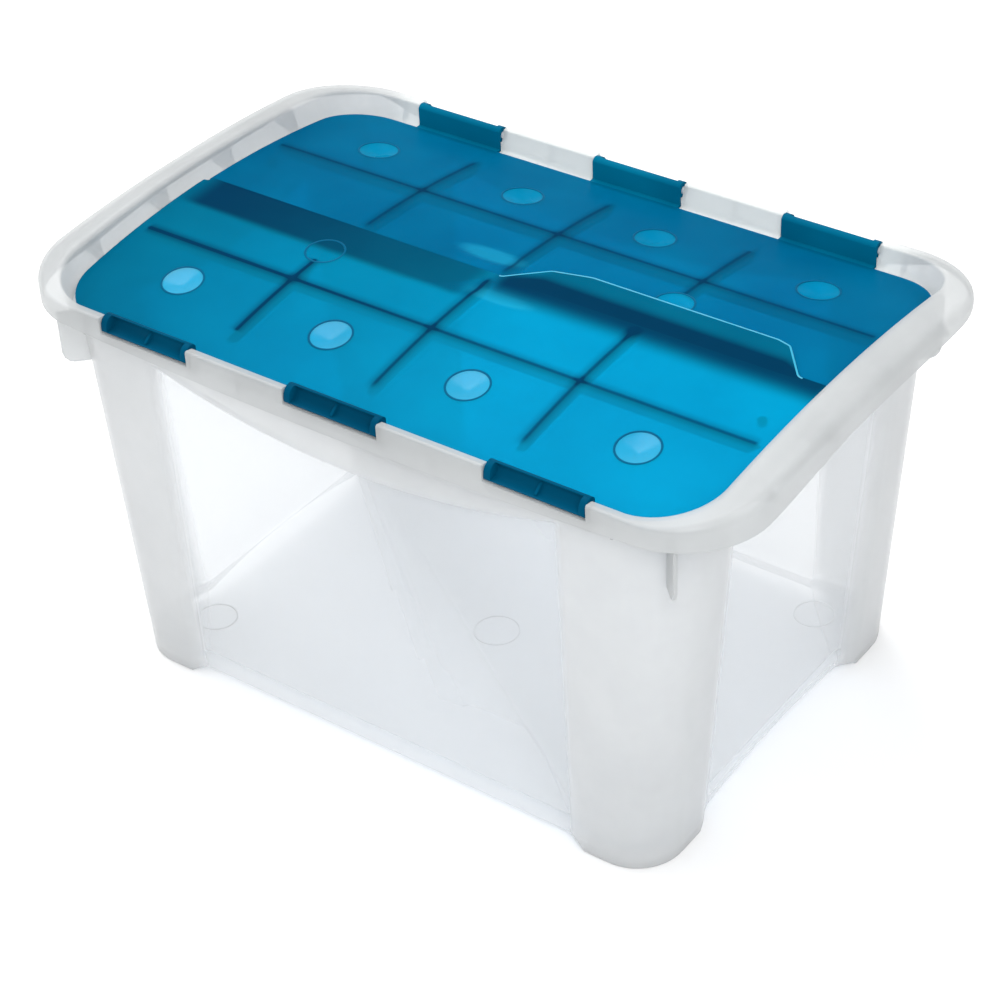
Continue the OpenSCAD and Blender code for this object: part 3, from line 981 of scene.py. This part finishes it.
TUB = plastic(
    "tub_plastic", (0.62, 0.63, 0.635), (0.68, 0.69, 0.695), 0.5, FROSTED, 0.42, mask=CLEAR
)
RIM = plastic("rim_plastic", (0.5, 0.515, 0.52), (0.57, 0.585, 0.59), 0.5, (0.95, 0.96, 0.965), 0.4)
paler_behind(RIM, (0.78, 0.8, 0.79))
WEB = plastic("web_plastic", (0.6, 0.61, 0.62), (0.66, 0.67, 0.68), 0.3, FROSTED, 0.42)
PIN = plastic("pin_plastic", (0.6, 0.63, 0.65), (0.7, 0.72, 0.74), 0.8, (0.9, 0.92, 0.93), 0.36)


def blue(name, dark, light, opacity, tint, rough, shine, **more):
    """A blue of the lid; red stays at 0 unless a colour has three values."""
    dark, light, tint = (c if len(c) == 3 else (0.0, *c) for c in (dark, light, tint))
    return plastic(name, dark, light, opacity, tint, rough, 0.05, shine, **more)


LID = {"opacity": 0.5, "rough": 0.34, "shine": 0.05, "edge": 0.05, "mask": PAINTED_GLINT}
LID_FRONT = blue("front_lid_plastic", (0.27, 0.43), (0.34, 0.52), tint=(0.58, 0.86), **LID)
# the rear leaf's plastic is a darker copy of the front's: painted shade
LID_REAR_SHADED = blue("rear_lid_painted_shade", (0.14, 0.27), (0.19, 0.34), tint=(0.4, 0.66), **LID)
# painted shade over the ribs and seam of both leaves
paint_lid_shade(LID_FRONT, 1, SHADE_BLUE)
paint_lid_shade(LID_REAR_SHADED, -1, SHADE_BLUE)
DISH = blue("dish_plastic", (0.33, 0.52), (0.02, 0.4, 0.6), 0.6, (0.02, 0.62, 0.9), 0.24, 0.3)
# darker copy of the dish plastic for the rear leaf: painted shade
REAR_DISH_SHADED = blue("rear_dish_painted_shade", (0.22, 0.38), (0.28, 0.45), 0.55, (0.52, 0.8), 0.27, 0.1)
RING = blue("ring_plastic", (0.08, 0.17), (0.1, 0.2), 0.9, (0.2, 0.4), 0.34, 0.1)
RIB = blue("rib_plastic", (0.13, 0.26), (0.17, 0.32), 0.6, (0.42, 0.68), 0.34, 0.12)
# the bead's lighter blue is a painted highlight along the tongue's edge
BEAD_HIGHLIGHT = plastic("bead_painted_highlight", (0.0, 0.33, 0.52), (0.01, 0.4, 0.6), 0.8, (0.05, 0.6, 0.85), 0.3)
HINGE = blue("hinge_plastic", (0.05, 0.105), (0.075, 0.15), 0.93, (0.12, 0.26), 0.33, 0.05)
# lighter copy of the hinge plastic for the rear knuckles: painted light
REAR_HINGE_LIT = blue("rear_hinge_painted_light", (0.1, 0.19), (0.14, 0.25), 0.9, (0.2, 0.38), 0.33, 0.05)


def finish(obj, mat, body, slot, *nodes):
    """Gives a piece its material and body, and hides the CAD nodes it stands for; slot is not used.
    """
    if mat:
        obj.data.materials.clear()
        obj.data.materials.append(mat)
    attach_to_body(obj, body)
    if nodes:
        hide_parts(*nodes)


# ---------------------------------------------------------------- build the tub
def clearness(x, y, z):
    """1 on the clear panels, 0 on the frosted posts and band, little on the floor."""
    on_long, on_short = abs(y) > 150, abs(x) > 205
    panel_long = ease((PANEL_L - 3 - abs(x)) / 8) * ease((abs(y) - 150) / 6)
    panel_short = ease((PANEL_W - 8 - abs(y)) / 14) * ease((abs(x) - 205) / 6)
    line = BAND_Z
    if on_long and abs(x) < PANEL_L:
        line = band_line("long", x)
    elif on_short and abs(y) < PANEL_W:
        line = band_line("short", y)
    below = ease((line - 1.0 - z) / 3.0)
    on_floor = 0.25 if z < FLOOR_Z + WALL + 1.0 and abs(x) < 225 and abs(y) < 160 else 0.0
    return max(max(panel_long, panel_short) * below, on_floor)


TUB_NODES = ["floor_plate"]
TUB_NODES += ["wall_" + side for side in ("front", "rear", "left", "right")]
TUB_NODES += ["post_" + at for at in ("front_left", "front_right", "rear_left", "rear_right")]
RIM_NODES = ["rim_" + side for side in ("front", "rear", "left", "right")]

body = tub_body()
mask = body.data.attributes.new("clear", "FLOAT", "POINT")
mask.data.foreach_set("value", [clearness(*(c / MM for c in v.co)) for v in body.data.vertices])
finish(body, TUB, "tub", "tub_panel_plastic", *TUB_NODES)
finish(rim(), RIM, "tub", "tub_frame_plastic", *RIM_NODES)
finish(gussets(), WEB, "tub", "tub_frame_plastic")
finish(fins(), RIM, "tub", "tub_frame_plastic", "corner_fins")
finish(floor_rings(), RIM, "tub", "tub_panel_plastic")
for name in ("hinge_pins_front", "hinge_pins_rear"):
    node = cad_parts[name]
    node.data.materials.clear()
    node.data.materials.append(PIN)


# ---------------------------------------------------------------- build the leaves
def attach(side, obj, mat, slot, *nodes):
    """Finishes a piece of a leaf; the rear leaf's pieces are turned half round."""
    finish(turned(obj) if side == "rear" else obj, mat, "leaf_" + side, slot, *nodes)


LEAVES = (("front", FRONT_APEX), ("rear", REAR_APEX))
looks = {"front": (0.6, LID_FRONT, DISH), "rear": (2.2, LID_REAR_SHADED, REAR_DISH_SHADED)}
for side, apex in LEAVES:
    panel = leaf_panel(f"lid_{side}_leaf", apex, *looks[side])
    attach(side, panel, None, "lid_plastic", f"{side}_leaf_panel")
for side, apex in LEAVES:
    attach(side, ribs(f"lid_{side}_ribs", apex), RIB, "lid_plastic", f"{side}_leaf_ribs")
for side, apex in LEAVES:
    attach(side, dish_rims(f"lid_{side}_dish_rims", apex), RING, "lid_plastic")
for side, apex in LEAVES:
    attach(side, seam_bead(f"lid_{side}_bead", apex), BEAD_HIGHLIGHT, "lid_plastic")
for side, mat, left in (("front", HINGE, -PITCH), ("rear", REAR_HINGE_LIT, PITCH)):
    for x, where in ((left, "left"), (0.0, "mid"), (-left, "right")):
        piece = knuckle(f"lid_{side}_knuckle_{where}", x)
        attach(side, piece, mat, "hinge_plastic", f"{side}_knuckle_{where}")

# ---------------------------------------------------------------- floor, light, camera
FLOOR_HALF, BELOW = 6, 0.0004  # metres; just under the feet
ground = bpy.data.meshes.new("studio_floor")
square = [(x * FLOOR_HALF, y * FLOOR_HALF, -BELOW) for x, y in ((-1, -1), (1, -1), (1, 1), (-1, 1))]
ground.from_pydata(square, [], [(0, 1, 2, 3)])
floor = bpy.data.objects.new("studio_floor", ground)
bpy.context.scene.collection.objects.link(floor)
mat, tree = nodes_of("studio_floor_paint")
paint = add(tree, "ShaderNodeBsdfPrincipled")
paint.inputs["Roughness"].default_value = 0.9
paint.inputs["Specular IOR Level"].default_value = 0.1
tone = mixed(tree, grain(tree, 3.0).outputs["Fac"], (0.9, 0.9, 0.9), (0.92, 0.92, 0.92))
tree.links.new(tone, paint.inputs["Base Color"])
out = add(tree, "ShaderNodeOutputMaterial")
tree.links.new(paint.outputs[0], out.inputs["Surface"])
ground.materials.append(mat)

world = bpy.data.worlds.new("studio")
bpy.context.scene.world = world
world.use_nodes = True
sky = world.node_tree.nodes["Background"]
sky.inputs["Color"].default_value = (1, 1, 1, 1)
sky.inputs["Strength"].default_value = 0.8
bpy.context.scene.view_settings.view_transform = "Standard"


def lamp(name, place_at, aim, size, power):
    """A white area lamp, in metres and watts."""
    data = bpy.data.lights.new(name, "AREA")
    data.shape = "RECTANGLE"
    data.size, data.size_y = size
    data.energy = power
    obj = bpy.data.objects.new(name, data)
    bpy.context.scene.collection.objects.link(obj)
    obj.location = place_at
    obj.rotation_euler = (Vector(aim) - Vector(place_at)).to_track_quat("-Z", "Y").to_euler()
    return obj


lamp("key", (0.8, -0.8, 1.15), (0.1, -0.1, 0.3), (0.5, 0.5), 9.5)
lamp("back", (-1.1, 0.5, 2.8), (0, 0, 0.2), (2.0, 2.0), 54)
lamp("inside", (0, 0, 0.292), (0, 0, 0), (0.46, 0.3), 0.55).visible_camera = False
lamp("left", (-1.9, -0.9, 0.7), (0, 0, 0.15), (1.2, 1.2), 5)

DISTANCE, AIM = 1942.8, (6.16, -17.5, 140.9)
SENSOR, FOCAL = 36, 2.631  # sensor width in mm, focal length in sensor widths
az, el, roll = math.radians(37.60), math.radians(36.10), math.radians(-3.06)
forward = Vector((-math.sin(az) * math.cos(el), math.cos(az) * math.cos(el), -math.sin(el)))
level = Vector((math.cos(az), math.sin(az), 0))
upright = level.cross(forward)
right = level * math.cos(roll) + upright * math.sin(roll)
up = upright * math.cos(roll) - level * math.sin(roll)
camera = bpy.data.objects.new("camera", bpy.data.cameras.new("camera"))
bpy.context.scene.collection.objects.link(camera)
spot = Vector(AIM) * MM - forward * (DISTANCE * MM)
turn = Matrix((right, up, -forward)).transposed()
camera.matrix_world = Matrix.Translation(spot) @ turn.to_4x4()
camera.data.sensor_width = SENSOR
camera.data.lens = FOCAL * SENSOR
camera.data.clip_end = 50
bpy.context.scene.camera = camera
